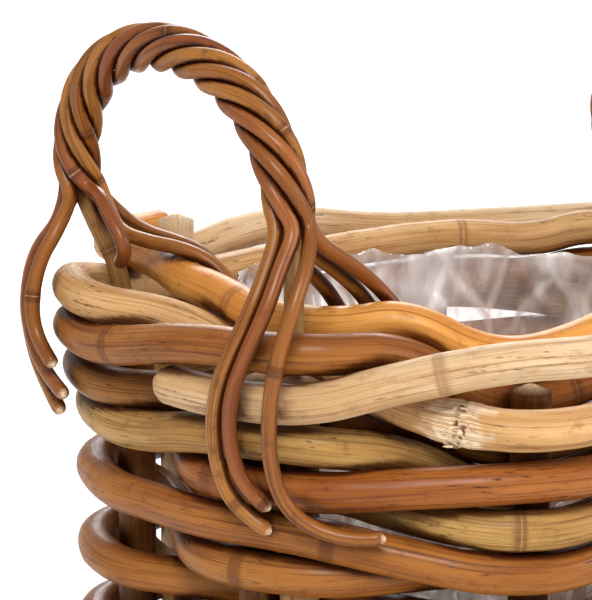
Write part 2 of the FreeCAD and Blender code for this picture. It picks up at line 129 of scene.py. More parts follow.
class Graph:
    """A node tree with short ways to add and join nodes."""

    def __init__(self, tree: bpy.types.NodeTree) -> None:
        """Wrap a node tree."""
        self.tree = tree

    def add(self, kind: str, inputs: dict[Any, Any] | None = None, **settings: Any) -> bpy.types.Node:
        """Add a node.

        Args:
            kind: The node's type name.
            inputs: Socket name or number to a value or to the socket that feeds it.
            settings: Properties of the node.

        Returns:
            The new node.
        """
        node = self.tree.nodes.new(kind)
        for name, value in settings.items():
            setattr(node, name, value)
        for key, value in (inputs or {}).items():
            self.feed(node.inputs[key], value)
        return node

    def feed(self, socket: bpy.types.NodeSocket, value: Any) -> None:
        """Link a socket to another socket, or set its value."""
        if isinstance(value, bpy.types.NodeSocket):
            self.tree.links.new(value, socket)
        elif isinstance(value, bpy.types.Node):
            self.tree.links.new(value.outputs[0], socket)
        else:
            socket.default_value = value

    def math(self, operation: str, *values: Any, clamp: bool = False) -> bpy.types.NodeSocket:
        """Return the result of a Math node."""
        node = self.add("ShaderNodeMath", dict(enumerate(values)), operation=operation, use_clamp=clamp)
        return node.outputs[0]

    def ramp(self, value: Any, low: float, high: float, to_low: float = 0.0, to_high: float = 1.0,
             smooth: bool = True) -> bpy.types.NodeSocket:
        """Return a value mapped from one range to another, clamped."""
        kind = "SMOOTHSTEP" if smooth else "LINEAR"
        node = self.add("ShaderNodeMapRange", {0: value, 1: low, 2: high, 3: to_low, 4: to_high},
                        interpolation_type=kind)
        return node.outputs[0]

    def stretch(self, vector: Any, scale: RGB) -> bpy.types.NodeSocket:
        """Return a vector multiplied by a scale along each axis."""
        return self.add("ShaderNodeVectorMath", {0: vector, 1: scale}, operation="MULTIPLY").outputs[0]

    def noise(self, vector: Any, scale: RGB, detail: float = 3.0, roughness: float = 0.55) -> bpy.types.NodeSocket:
        """Return noise over a stretched vector."""
        node = self.add("ShaderNodeTexNoise", {"Vector": self.stretch(vector, scale), "Scale": 1.0,
                                               "Detail": detail, "Roughness": roughness})
        return node.outputs[0]

    def mix(self, factor: Any, first: Any, second: Any, blend: str = "MIX") -> bpy.types.NodeSocket:
        """Return two colours mixed."""
        node = self.add("ShaderNodeMix", {0: factor, 6: first, 7: second}, data_type="RGBA", blend_type=blend)
        return node.outputs[2]

    def bump(self, height: Any, strength: float, distance: float) -> bpy.types.NodeSocket:
        """Return the normal of a surface that a height roughens."""
        node = self.add("ShaderNodeBump", {"Strength": strength, "Distance": distance, "Height": height})
        return node.outputs[0]

    def surface(self, inputs: dict[str, Any]) -> None:
        """Add a Principled shader and make it the material's surface."""
        self.add("ShaderNodeOutputMaterial", {0: self.add("ShaderNodeBsdfPrincipled", inputs)})

    def store(self, geometry: Any, name: str, value: Any, kind: str = "FLOAT") -> bpy.types.Node:
        """Store a value on each point of a geometry."""
        return self.add("GeometryNodeStoreNamedAttribute", {"Geometry": geometry, "Name": name, "Value": value},
                        domain="POINT", data_type=kind)

    def read(self, name: str, kind: str = "FLOAT") -> bpy.types.NodeSocket:
        """Return the value stored on each point under a name."""
        return self.add("GeometryNodeInputNamedAttribute", {"Name": name}, data_type=kind).outputs[0]


def new_group(name: str, kind: str, sockets_in: Sequence[tuple[str, str, Any]],
              sockets_out: Sequence[tuple[str, str]]) -> tuple[Graph, bpy.types.Node, bpy.types.Node]:
    """Make a node group with named sockets.

    Args:
        name: The group's name.
        kind: ShaderNodeTree or GeometryNodeTree.
        sockets_in: Name, socket type and default of each input.
        sockets_out: Name and socket type of each output.

    Returns:
        The graph, its input node and its output node.
    """
    tree = bpy.data.node_groups.new(name, kind)
    for label, socket_type, default in sockets_in:
        socket = tree.interface.new_socket(label, in_out="INPUT", socket_type=socket_type)
        if default is not None:
            socket.default_value = default
    for label, socket_type in sockets_out:
        tree.interface.new_socket(label, in_out="OUTPUT", socket_type=socket_type)
    graph = Graph(tree)
    return graph, graph.add("NodeGroupInput"), graph.add("NodeGroupOutput")


def new_material(name: str) -> tuple[bpy.types.Material, Graph]:
    """Make an empty material, and return it with its graph."""
    made = bpy.data.materials.new(name)
    made.use_nodes = True
    made.node_tree.nodes.clear()
    return made, Graph(made.node_tree)


def new_object(name: str, data: Any) -> bpy.types.Object:
    """Make an object round its data, and put it in the scene."""
    made = bpy.data.objects.new(name, data)
    bpy.context.collection.objects.link(made)
    return made


# ---- finishes -------------------------------------------------------------------------------------

def rattan_group() -> bpy.types.NodeTree:
    """Build the shader group for rattan bark: long fibres, blotches, specks, node rings, and painted shade with some
    varnish in the crevices.
    """
    graph, given, out = new_group(
        "rattan_bark", "ShaderNodeTree",
        [("Grain", "NodeSocketVector", None), ("Knot", "NodeSocketFloat", 0.0),
         ("Crevice", "NodeSocketFloat", 0.0), ("Bare", "NodeSocketFloat", 0.0),
         ("Light", "NodeSocketColor", None), ("Mid", "NodeSocketColor", None),
         ("Dark", "NodeSocketColor", None), ("Fibre", "NodeSocketFloat", 1.0),
         ("Specks", "NodeSocketFloat", 0.5), ("Shine", "NodeSocketFloat", 0.4)],
        [("Color", "NodeSocketColor"), ("Roughness", "NodeSocketFloat"), ("Height", "NodeSocketFloat")])
    want = given.outputs
    grain = want["Grain"]
    fine = graph.noise(grain, (11.0, 1050.0, 1050.0), 4.0, 0.62)
    streak = graph.noise(grain, (5.0, 360.0, 360.0), 4.0, 0.62)
    blotch = graph.noise(grain, (9.0, 70.0, 70.0), 3.0, 0.5)
    smear = graph.noise(grain, (24.0, 190.0, 190.0), 5.0, 0.68)
    worn = graph.noise(grain, (70.0, 85.0, 85.0), 5.0, 0.68)
    body = graph.mix(graph.ramp(blotch, 0.36, 0.66), want["Mid"], want["Light"])
    body = graph.mix(graph.ramp(streak, 0.52, 0.7, 0.0, 0.7), body, want["Dark"])
    body = graph.mix(graph.ramp(streak, 0.26, 0.42, 0.65, 0.0), body, want["Light"])
    line = graph.math("MULTIPLY", graph.ramp(fine, 0.5, 0.64), want["Fibre"], clamp=True)
    body = graph.mix(graph.math("MULTIPLY", line, 0.62), body, want["Dark"])
    body = graph.mix(graph.ramp(worn, 0.54, 0.72, 0.0, 0.5), body, want["Dark"])
    scar = graph.noise(grain, (75.0, 620.0, 620.0), 3.0, 0.6)
    patch = graph.noise(grain, (13.0, 60.0, 60.0), 2.0, 0.5)
    mark = graph.math("MULTIPLY", graph.ramp(scar, 0.61, 0.67), graph.ramp(patch, 0.5, 0.6))
    mark = graph.math("MULTIPLY", mark, want["Specks"], clamp=True)
    body = graph.mix(graph.math("MULTIPLY", mark, 0.9), body, (0.03, 0.012, 0.005, 1.0))
    stain = graph.math("MULTIPLY", graph.ramp(smear, 0.57, 0.7), want["Specks"], clamp=True)
    body = graph.mix(graph.math("MULTIPLY", stain, 0.6), body, (0.13, 0.028, 0.01, 1.0))
    knot = want["Knot"]
    body = graph.mix(graph.ramp(knot, 0.02, 0.6, 0.0, 0.6), body, want["Dark"])
    rim = graph.math("MULTIPLY", graph.ramp(knot, 0.88, 0.98), graph.ramp(smear, 0.4, 0.6, 0.25, 0.8))
    body = graph.mix(rim, body, (0.55, 0.33, 0.2, 1.0))
    bare = want["Bare"]
    pith = graph.mix(graph.ramp(fine, 0.42, 0.6), (0.86, 0.7, 0.5, 1.0), (0.5, 0.29, 0.13, 1.0))
    body = graph.mix(bare, body, pith)
    # Painted shade, with some dark varnish: the bark is darkened where other canes stand close in front of it.
    crevice_shade = want["Crevice"]
    shade_and_varnish = graph.mix(1.0, body, (0.2, 0.1, 0.055, 1.0), "MULTIPLY")
    body = graph.mix(graph.ramp(crevice_shade, 0.05, 0.8, 0.0, 0.92), body, shade_and_varnish)
    graph.feed(out.inputs["Color"], body)
    rough = graph.math("SUBTRACT", graph.ramp(worn, 0.3, 0.7, 0.56, 0.76),
                       graph.math("MULTIPLY", want["Shine"], 0.4))
    rough = graph.math("ADD", rough, graph.math("MULTIPLY", mark, 0.25))
    rough = graph.math("ADD", rough, graph.math("MULTIPLY", bare, 0.35), clamp=True)
    graph.feed(out.inputs["Roughness"], rough)
    height = graph.math("MULTIPLY", fine, 0.28)
    height = graph.math("ADD", height, graph.math("MULTIPLY", streak, 0.9))
    height = graph.math("ADD", height, graph.math("MULTIPLY", smear, 0.3))
    height = graph.math("SUBTRACT", height, graph.math("MULTIPLY", mark, 0.5))
    graph.feed(out.inputs["Height"], height)
    return graph.tree


@dataclass(frozen=True)
class RattanFinish:
    """One colour of rattan, peeled or varnished."""

    name: str
    light: RGB
    mid: RGB
    dark: RGB
    fibre: float = 0.7
    specks: float = 0.5
    shine: float = 0.4
    coat: float = 0.1
    relief: float = 0.5

    def material(self, bark: bpy.types.NodeTree) -> bpy.types.Material:
        """Build the material round the shared bark group."""
        made = bpy.data.materials.get(self.name)
        if made:
            return made
        made, graph = new_material(self.name)
        group = graph.add("ShaderNodeGroup", node_tree=bark)
        # The crevice attribute holds painted shade, with some varnish, that Crevices measures by casting rays.
        for label, attribute, output in (("Grain", "grain", "Vector"), ("Knot", "knot", "Fac"),
                                         ("Crevice", "crevice_shade", "Fac"), ("Bare", "bare", "Fac")):
            read = graph.add("ShaderNodeAttribute", attribute_name=attribute)
            graph.feed(group.inputs[label], read.outputs[output])
        for label, value in (("Light", self.light), ("Mid", self.mid), ("Dark", self.dark)):
            group.inputs[label].default_value = (*value, 1.0)
        group.inputs["Fibre"].default_value = self.fibre
        group.inputs["Specks"].default_value = self.specks
        group.inputs["Shine"].default_value = self.shine
        graph.surface({"Base Color": group.outputs["Color"], "Roughness": group.outputs["Roughness"],
                       "Normal": graph.bump(group.outputs["Height"], self.relief, 0.0008),
                       "Coat Weight": self.coat, "Coat Roughness": 0.24, "Specular IOR Level": 0.13})
        return made


class Rattan(Enum):
    """The rattan finishes, by the look of the cane."""

    STRAW = RattanFinish("bark_straw", (0.668, 0.474, 0.286), (0.545, 0.336, 0.156), (0.291, 0.145, 0.056),
                         0.7, 0.8, 0.2, 0.1, 0.6)
    GOLD = RattanFinish("bark_gold", (0.63, 0.378, 0.168), (0.494, 0.263, 0.094), (0.262, 0.112, 0.032),
                        0.8, 0.7, 0.25, 0.1, 0.6)
    PITH = RattanFinish("bark_pith", (0.718, 0.557, 0.371), (0.621, 0.44, 0.254), (0.369, 0.215, 0.098),
                        0.8, 0.6, 0.0, 0.0, 0.7)
    AMBER = RattanFinish("bark_amber", (0.74, 0.349, 0.077), (0.578, 0.226, 0.041), (0.277, 0.084, 0.014),
                         0.6, 0.45, 0.35, 0.2)
    TAN = RattanFinish("bark_tan", (0.348, 0.128, 0.023), (0.24, 0.073, 0.011), (0.093, 0.023, 0.003),
                       0.9, 0.8, 0.35, 0.2)
    COPPER = RattanFinish("bark_copper", (0.376, 0.127, 0.022), (0.256, 0.072, 0.01), (0.104, 0.019, 0.003),
                          0.8, 1.0, 0.4, 0.25)
    UMBER = RattanFinish("bark_umber", (0.316, 0.133, 0.028), (0.222, 0.081, 0.015), (0.083, 0.025, 0.004),
                         0.9, 0.8, 0.3, 0.15)
    OLIVE = RattanFinish("bark_olive", (0.484, 0.287, 0.089), (0.34, 0.174, 0.046), (0.134, 0.051, 0.013),
                         0.9, 1.0, 0.25, 0.12, 0.7)
    HONEY = RattanFinish("bark_honey", (0.359, 0.14, 0.026), (0.25, 0.08, 0.012), (0.096, 0.024, 0.004),
                         0.85, 0.8, 0.35, 0.2)
    STAKE = RattanFinish("bark_stake", (0.225, 0.084, 0.015), (0.158, 0.052, 0.008), (0.067, 0.017, 0.002),
                         0.9, 0.8, 0.25, 0.1)
    LEG = RattanFinish("bark_leg", (0.475, 0.282, 0.112), (0.361, 0.176, 0.059), (0.162, 0.062, 0.017),
                       0.9, 0.7, 0.25, 0.1)
    STRAND = RattanFinish("bark_strand", (0.281, 0.098, 0.017), (0.193, 0.058, 0.008), (0.063, 0.014, 0.002),
                          0.8, 0.5, 0.5, 0.3, 0.4)
    STRAND_RED = RattanFinish("bark_strand_russet", (0.296, 0.095, 0.02), (0.2, 0.051, 0.009), (0.066, 0.013, 0.002),
                              0.7, 0.6, 0.6, 0.35, 0.35)
    STRAND_PALE = RattanFinish("bark_strand_pale", (0.376, 0.154, 0.03), (0.261, 0.091, 0.015), (0.098, 0.026, 0.004),
                               0.8, 0.5, 0.45, 0.25, 0.4)


@dataclass(frozen=True)
class BoardFinish:
    """Plain wood of the base, grained along one axis of the basket."""

    name: str
    light: RGB = (0.50, 0.32, 0.16)
    dark: RGB = (0.28, 0.15, 0.06)
    grain: RGB = (6.0, 260.0, 260.0)

    def material(self) -> bpy.types.Material:
        """Build the material from Object coordinates."""
        made, graph = new_material(self.name)
        place = graph.add("ShaderNodeTexCoord").outputs["Object"]
        fibre = graph.noise(place, self.grain, 5.0, 0.6)
        patch = graph.noise(place, (9.0, 9.0, 30.0), 3.0, 0.5)
        colour = graph.mix(graph.ramp(fibre, 0.35, 0.65), (*self.dark, 1.0), (*self.light, 1.0))
        colour = graph.mix(graph.ramp(patch, 0.45, 0.75, 0.0, 0.5), colour, (*self.dark, 1.0))
        graph.surface({"Base Color": colour, "Roughness": graph.ramp(fibre, 0.3, 0.7, 0.78, 0.6),
                       "Normal": graph.bump(fibre, 0.4, 0.0006)})
        return made


@dataclass(frozen=True)
class SteelFinish:
    """Dull steel wire, a little rusty."""

    name: str = "nail_steel"

    def material(self) -> bpy.types.Material:
        """Build the material from Object coordinates."""
        made, graph = new_material(self.name)
        place = graph.add("ShaderNodeTexCoord").outputs["Object"]
        spots = graph.noise(place, (420.0, 420.0, 420.0), 4.0, 0.6)
        colour = graph.mix(graph.ramp(spots, 0.5, 0.7), (0.36, 0.34, 0.32, 1.0), (0.2, 0.09, 0.045, 1.0))
        graph.surface({"Base Color": colour, "Roughness": graph.ramp(spots, 0.4, 0.7, 0.3, 0.6),
                       "Metallic": graph.ramp(spots, 0.5, 0.72, 1.0, 0.5)})
        return made


@dataclass(frozen=True)
class FilmFinish:
    """Clear crinkled film with milky creases; its paler, more opaque patches and crease lines are partly painted
    highlights.
    """

    name: str = "clear_film"
    tint: RGB = (0.98, 0.92, 0.9)

    def material(self) -> bpy.types.Material:
        """Build the material from Object coordinates."""
        made, graph = new_material(self.name)
        place = graph.add("ShaderNodeTexCoord").outputs["Object"]
        # Painted highlight, partly: where the veil and crease masks are high the film is paler and more opaque, both
        # as milky film and as bright highlights.
        veil_and_highlight = graph.noise(place, (15.0, 15.0, 8.0), 3.0, 0.55)
        wrinkle = graph.noise(place, (75.0, 75.0, 40.0), 3.0, 0.55)
        spread = graph.stretch(place, (26.0, 26.0, 13.0))
        facet = graph.add("ShaderNodeTexVoronoi", {"Vector": spread, "Scale": 1.0, "Randomness": 1.0},
                          feature="DISTANCE_TO_EDGE")
        crease = graph.ramp(facet.outputs["Distance"], 0.0, 0.11, 0.34, 0.0)
        alpha = graph.math("ADD", graph.ramp(veil_and_highlight, 0.42, 0.62, 0.2, 0.66), graph.ramp(wrinkle, 0.5, 0.7, 0.0, 0.14))
        alpha = graph.math("ADD", alpha, crease, clamp=True)
        colour = graph.mix(graph.ramp(veil_and_highlight, 0.45, 0.62), (0.74, 0.6, 0.54, 1.0), (*self.tint, 1.0))
        graph.surface({"Base Color": colour, "Roughness": graph.ramp(wrinkle, 0.3, 0.7, 0.03, 0.14),
                       "Alpha": alpha, "Normal": graph.bump(wrinkle, 0.5, 0.003), "IOR": 1.5,
                       "Specular IOR Level": 1.0, "Coat Weight": 1.0, "Coat Roughness": 0.04})
        return made


# ---- the shape of a cane --------------------------------------------------------------------------

RING_WIDTH = 0.0055
SWELL_WIDTH = 0.022
CHAMFER = 0.0022
CUT_DEPTH = 0.001
TAPER_POWER = 0.35
LUMP_SHARE = 0.05
RIB_SHARE = 0.03


def cane_tree() -> bpy.types.NodeTree:
    """Build the geometry group that turns a path into a length of rattan with node rings."""
    graph, given, out = new_group(
        "rattan_length", "GeometryNodeTree",
        [("Path", "NodeSocketGeometry", None), ("Thickness", "NodeSocketFloat", 0.0245),
         ("Step", "NodeSocketFloat", 0.004), ("Sides", "NodeSocketInt", 24),
         ("Knot Spacing", "NodeSocketFloat", 0.31), ("Knot Offset", "NodeSocketFloat", 0.1),
         ("Knot Swell", "NodeSocketFloat", 0.05), ("Wobble", "NodeSocketFloat", 0.03),
         ("Start Taper", "NodeSocketFloat", 0.0), ("End Taper", "NodeSocketFloat", 0.0),
         ("Seed", "NodeSocketFloat", 0.0), ("Finish", "NodeSocketMaterial", None)],
        [("Cane", "NodeSocketGeometry")])
    want = given.outputs
    line = graph.add("GeometryNodeMeshToCurve", {"Mesh": want["Path"]})
    line = graph.add("GeometryNodeResampleCurve", {"Curve": line, "Length": want["Step"]}, mode="LENGTH")
    along = graph.add("GeometryNodeSplineParameter").outputs["Length"]
    whole = graph.add("GeometryNodeSplineLength").outputs["Length"]
    cell = graph.math("DIVIDE", graph.math("SUBTRACT", along, want["Knot Offset"]), want["Knot Spacing"])
    near = graph.math("MULTIPLY", graph.math("ABSOLUTE", graph.math("SUBTRACT", cell, graph.math("ROUND", cell))),
                      want["Knot Spacing"])
    ring = graph.ramp(near, 0.0, RING_WIDTH, 1.0, 0.0)
    wide = graph.ramp(near, 0.0, SWELL_WIDTH, 1.0, 0.0)
    place = graph.math("ADD", graph.math("MULTIPLY", along, 9.0), want["Seed"])
    wave = graph.add("ShaderNodeTexNoise", {"W": place, "Scale": 1.0, "Detail": 2.0},
                     noise_dimensions="1D").outputs[0]
    scale = graph.math("ADD", 1.0, graph.math("MULTIPLY", graph.math("SUBTRACT", wave, 0.5), want["Wobble"]))
    swell = graph.math("ADD", graph.math("MULTIPLY", ring, 0.55), graph.math("MULTIPLY", wide, 0.45))
    scale = graph.math("ADD", scale, graph.math("MULTIPLY", swell, want["Knot Swell"]))
    left = graph.math("SUBTRACT", whole, along)
    for distance, length in ((along, want["Start Taper"]), (left, want["End Taper"])):
        share = graph.math("DIVIDE", distance, graph.math("ADD", length, 0.00001), clamp=True)
        share = graph.math("ADD", share, 0.02, clamp=True)
        scale = graph.math("MULTIPLY", scale, graph.math("POWER", share, TAPER_POWER))
    end = graph.math("MINIMUM", along, left)
    chamfer = graph.ramp(end, 0.0, CHAMFER, 0.9, 1.0)
    scale = graph.math("MULTIPLY", scale, chamfer)
    radius = graph.math("MULTIPLY", graph.math("MULTIPLY", want["Thickness"], 0.5), scale)
    cut = graph.ramp(end, 0.0, CUT_DEPTH, 1.0, 0.0)
    for name, value in (("along", along), ("knot", ring), ("bare", cut), ("cane_radius", radius)):
        line = graph.store(line, name, value)
    round_section = graph.add("GeometryNodeCurvePrimitiveCircle", {"Resolution": want["Sides"], "Radius": 1.0})
    turn = graph.math("MULTIPLY", graph.add("GeometryNodeSplineParameter").outputs["Factor"], math.tau)
    round_section = graph.store(round_section, "around", turn)
    skin = graph.add("GeometryNodeCurveToMesh", {"Curve": line, "Profile Curve": round_section, "Fill Caps": True,
                                                 "Scale": radius})
    side, face = (graph.math("MULTIPLY", graph.math(part, graph.read("around")), graph.read("cane_radius"))
                  for part in ("COSINE", "SINE"))
    run = graph.math("ADD", graph.read("along"), graph.math("MULTIPLY", want["Seed"], 3.7))
    grain = graph.add("ShaderNodeCombineXYZ", {0: run, 1: side, 2: face})
    skin = graph.store(skin, "grain", grain.outputs[0], "FLOAT_VECTOR")
    stored = graph.read("grain", "FLOAT_VECTOR")
    lumps = graph.noise(stored, (38.0, 130.0, 130.0), 3.0, 0.5)
    ribs = graph.noise(stored, (6.0, 520.0, 520.0), 2.0, 0.5)
    push = graph.math("ADD", graph.math("MULTIPLY", graph.math("SUBTRACT", lumps, 0.5), LUMP_SHARE),
                      graph.math("MULTIPLY", graph.math("SUBTRACT", ribs, 0.5), RIB_SHARE))
    push = graph.math("MULTIPLY", push, want["Thickness"])
    normal = graph.add("GeometryNodeInputNormal").outputs[0]
    offset = graph.add("ShaderNodeVectorMath", {0: normal, "Scale": push}, operation="SCALE")
    skin = graph.add("GeometryNodeSetPosition", {"Geometry": skin, "Offset": offset.outputs[0]})
    skin = graph.add("GeometryNodeSetShadeSmooth", {"Geometry": skin, "Shade Smooth": True})
    skin = graph.add("GeometryNodeRealizeInstances", {0: skin})
    skin = graph.add("GeometryNodeSetMaterial", {"Geometry": skin, "Material": want["Finish"]})
    graph.feed(out.inputs[0], skin)
    return graph.tree


def smooth_line(points: Sequence[Vector]) -> list[Vector]:
    """Return points along the smooth curve that a run of control points pulls.

    Args:
        points: The control points, in order.

    Returns:
        Points close together along the curve, from the first control point to the last.
    """
    curve = bpy.data.curves.new("line", "CURVE")
    curve.dimensions = "3D"
    curve.resolution_u = 10
    spline = curve.splines.new("NURBS")
    spline.points.add(len(points) - 1)
    for target, point in zip(spline.points, points):
        target.co = (*point, 1.0)
    spline.order_u = 3
    spline.use_endpoint_u = True
    holder = bpy.data.objects.new("line", curve)
    mesh = bpy.data.meshes.new_from_object(holder)
    line = [vertex.co.copy() for vertex in mesh.vertices]
    bpy.data.objects.remove(holder)
    bpy.data.curves.remove(curve)
    bpy.data.meshes.remove(mesh)
    return line


@dataclass
class CaneMaker:
    """Turns paths into lengths of rattan, and keeps what it has made."""

    bark: bpy.types.NodeTree
    tree: bpy.types.NodeTree
    made: list[bpy.types.Object] = field(default_factory=list)

    def cane(self, name: str, line: Sequence[Vector], finish: Rattan, seed: float, slot: str,
             **sizes: float) -> bpy.types.Object:
        """Make one length of rattan and put it in place of its frame node.

        Args:
            name: The frame node that it stands for.
            line: Points along its middle.
            finish: Its finish.
            seed: Shifts its grain and wobble.
            slot: The record's material slot; not used.
            sizes: Inputs of the geometry group, with underscores for spaces.

        Returns:
            The finished piece.
        """
        mesh = bpy.data.meshes.new(f"{name}_path")
        mesh.from_pydata([tuple(p) for p in line], [(i, i + 1) for i in range(len(line) - 1)], [])
        holder = new_object(f"{name}_path", mesh)
        modifier = holder.modifiers.new("rattan", "NODES")
        modifier.node_group = self.tree
        values = {key.replace("_", " ").title(): value for key, value in sizes.items()}
        values.update({"Seed": seed, "Finish": finish.value.material(self.bark)})
        for item in self.tree.interface.items_tree:
            if item.item_type == "SOCKET" and item.in_out == "INPUT" and item.name in values:
                modifier[item.identifier] = values[item.name]
        graph = bpy.context.evaluated_depsgraph_get()
        baked = bpy.data.meshes.new_from_object(holder.evaluated_get(graph))
        bpy.data.objects.remove(holder)
        bpy.data.meshes.remove(mesh)
        for spare in ("along", "around", "cane_radius"):
            if spare in baked.attributes:
                baked.attributes.remove(baked.attributes[spare])
        piece = new_object(f"rattan_{name}", baked)
        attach(piece, BODY)
        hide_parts(name)
        self.made.append(piece)
        LOG.info("%s: %d faces", piece.name, len(baked.polygons))
        return piece


@dataclass
class Splinters:
    """Torn fibres that stand up from a cane."""

    count: int = 18
    length: float = 0.009
    width: float = 0.0022
    seed: int = 7

    def grow(self, piece: bpy.types.Object, root: Vector, along: Vector, outward: Vector, spread: float) -> None:
        """Add the fibres to a piece.

        Args:
            piece: The piece that is torn.
            root: The middle of the tear, on the cane's surface.
            along: The way that the fibres run.
            outward: The way out of the surface.
            spread: How far from the middle they start.
        """
        shape = bmesh.new()
        shape.from_mesh(piece.data)
        bare = shape.verts.layers.float.get("bare") or shape.verts.layers.float.new("bare")
        side = along.cross(outward).normalized()
        for number in range(self.count):
            draws = [noise.noise(Vector((self.seed + 3.1 * number, 5.7 * draw, 0.5))) * 1.8 for draw in range(6)]
            start = root + side * (draws[0] * spread) + along * (draws[1] * spread * 0.6) - outward * 0.001
            way = (along * (1.0 if number % 2 else -1.0) + side * draws[2] * 0.5
                   + outward * (0.16 + 0.25 * abs(draws[3]))).normalized()
            reach = self.length * (0.6 + 0.5 * abs(draws[4]))
            tip = start + way * reach + outward * (0.15 * reach * draws[5])
            middle = start.lerp(tip, 0.5) + outward * 0.0006
            rings = []
            for place, half in ((start, self.width / 2), (middle, self.width * 0.4), (tip, self.width * 0.06)):
                cross = way.cross(outward).normalized() * half
                thick = outward * half * 0.4
                ring = [shape.verts.new(place + move) for move in (cross, thick, -cross, -thick)]
                for vertex in ring:
                    vertex[bare] = 1.0
                rings.append(ring)
            for lower, upper in zip(rings, rings[1:]):
                for corner in range(4):
                    after = (corner + 1) % 4
                    shape.faces.new((lower[corner], lower[after], upper[after], upper[corner]))
            shape.faces.new(rings[0][::-1])
            shape.faces.new(rings[-1])
        new_faces = shape.faces[-self.count * 10:]
        bmesh.ops.recalc_face_normals(shape, faces=new_faces)
        shape.to_mesh(piece.data)
        shape.free()


@dataclass
class Kink:
    """A place where a cane was bent too far: it is crushed flat and its bark has torn."""

    azimuth: float = 238.0
    reach: float = 0.015
    flatten: float = 0.3
    widen: float = 0.14
    jag: float = 0.0036
    bare_reach: float = 0.023
    lip: float = 0.0032
    lip_wander: float = 0.012
    row: float = 11.9
    tangent_reach: int = 4

    def crush(self, piece: bpy.types.Object, line: Sequence[Vector]) -> None:
        """Crush a cane at the kink's azimuth.

        Args:
            piece: The cane.
            line: Points along its middle.
        """
        turn = math.radians(self.azimuth)
        outward = Vector((math.cos(turn), math.sin(turn), 0.0))
        aim = PLAN.place(self.azimuth, PLAN.stake_circle, PLAN.row_height(self.row))
        near = self.tangent_reach
        spot = min(range(near, len(line) - near), key=lambda index: (line[index] - aim).length)
        centre = line[spot]
        along = (line[spot + near] - line[spot - near]).normalized()
        outward = (outward - along * outward.dot(along)).normalized()
        rise = along.cross(outward)
        half = PLAN.cane_thickness / 2
        mesh = piece.data
        bare = mesh.attributes["bare"].data
        for vertex in mesh.vertices:
            offset = vertex.co - centre
            run = offset.dot(along)
            if abs(run) > 4 * self.reach or offset.length > 5 * self.reach:
                continue
            share = math.exp(-(run / self.reach) ** 2)
            out, up = offset.dot(outward), offset.dot(rise)
            rough = noise.noise(vertex.co * 230.0) + 0.5 * noise.noise(vertex.co * 610.0)
            vertex.co += outward * (-out * self.flatten * share + self.jag * rough * share)
            vertex.co += rise * (up * self.widen * share)
            front = max(0.0, min(1.0, 0.4 + out / half))
            edge = self.lip_wander * (noise.noise(vertex.co * 90.0) + 0.6 * noise.noise(vertex.co * 260.0))
            if edge - 2 * self.reach < run < edge:
                vertex.co += outward * (self.lip * front * (1.0 + (run - edge) / (2 * self.reach)))
            torn = math.exp(-(run / self.bare_reach) ** 2) * front + 0.5 * noise.noise(vertex.co * 150.0)
            bare[vertex.index].value = max(bare[vertex.index].value, min(1.0, max(0.0, 2.4 * (torn - 0.35))))
        Splinters().grow(piece, centre + outward * half * 0.72, along, outward, half * 0.8)


# ---- the wall -------------------------------------------------------------------------------------

@dataclass(frozen=True)
class Cane:
    """One cane of the wall: its route, its run past the first and last stakes, and its looks.

    A route names stakes in the order that the cane meets them. + is outside, - inside, the number is
    the height in rows, and ~ is the height halfway to the next stake.
    """

    name: str
    route: str
    finish: Rattan
    knot: float = 0.1
    run_on: tuple[float, float] | None = None
    spacing: float = 0.33
    tapers: tuple[float, float] = (0.0, 0.0)
    slot: str = "rattan_honey"
    kinked: bool = False

    def stations(self) -> tuple[list[tuple[str, bool, float]], dict[int, float]]:
        """Return the stakes passed as (letter, outside, row), and the halfway rows."""
        stations: list[tuple[str, bool, float]] = []
        halfway: dict[int, float] = {}
        for word in self.route.split():
            if word[0] == "~":
                halfway[len(stations) - 1] = float(word[1:])
            else:
                stations.append((word[0], word[1] == "+", float(word[2:])))
        return stations, halfway

    def points(self) -> list[Vector]:
        """Return the control points of the cane's path."""
        stations, halfway = self.stations()
        if self.run_on is None:
            stations.append(stations[0])
        azimuth = PLAN.first_stake + PLAN.stake_pitch * PLAN.letters.index(stations[0][0])
        rings = []
        for letter, outside, row in stations:
            rings.append((azimuth, PLAN.pass_radius(letter, outside, row), row, PLAN.channel(letter)))
            azimuth += PLAN.stake_pitch
        points: list[list[float]] = []
        for number, (angle, radius, row, half) in enumerate(rings):
            corner = radius / math.cos(math.radians(half))
            height = PLAN.row_height(row)
            points += [[angle - half, corner, height], [angle + half, corner, height]]
            if number + 1 < len(rings):
                following = rings[number + 1]
                middle = PLAN.row_height(halfway.get(number, (row + following[2]) / 2))
                reach = PLAN.span_fullness * (radius + following[1]) / 2
                points.append([(angle + following[0]) / 2, reach, middle])
        if self.run_on is None:
            seam = math.degrees(PLAN.seam_gap / 2 / rings[0][1])
            points[0][:2] = [rings[0][0] + seam, rings[0][1]]
            points[-1][:2] = [rings[-1][0] - seam, rings[-1][1]]
        else:
            tuck = PLAN.span_fullness ** 3
            first, last = points[0], points[-1]
            points.insert(0, [first[0] - self.run_on[0], first[1] * tuck, first[2]])
            points.append([last[0] + self.run_on[1], last[1] * tuck, last[2]])
        return [PLAN.place(*point) for point in points]


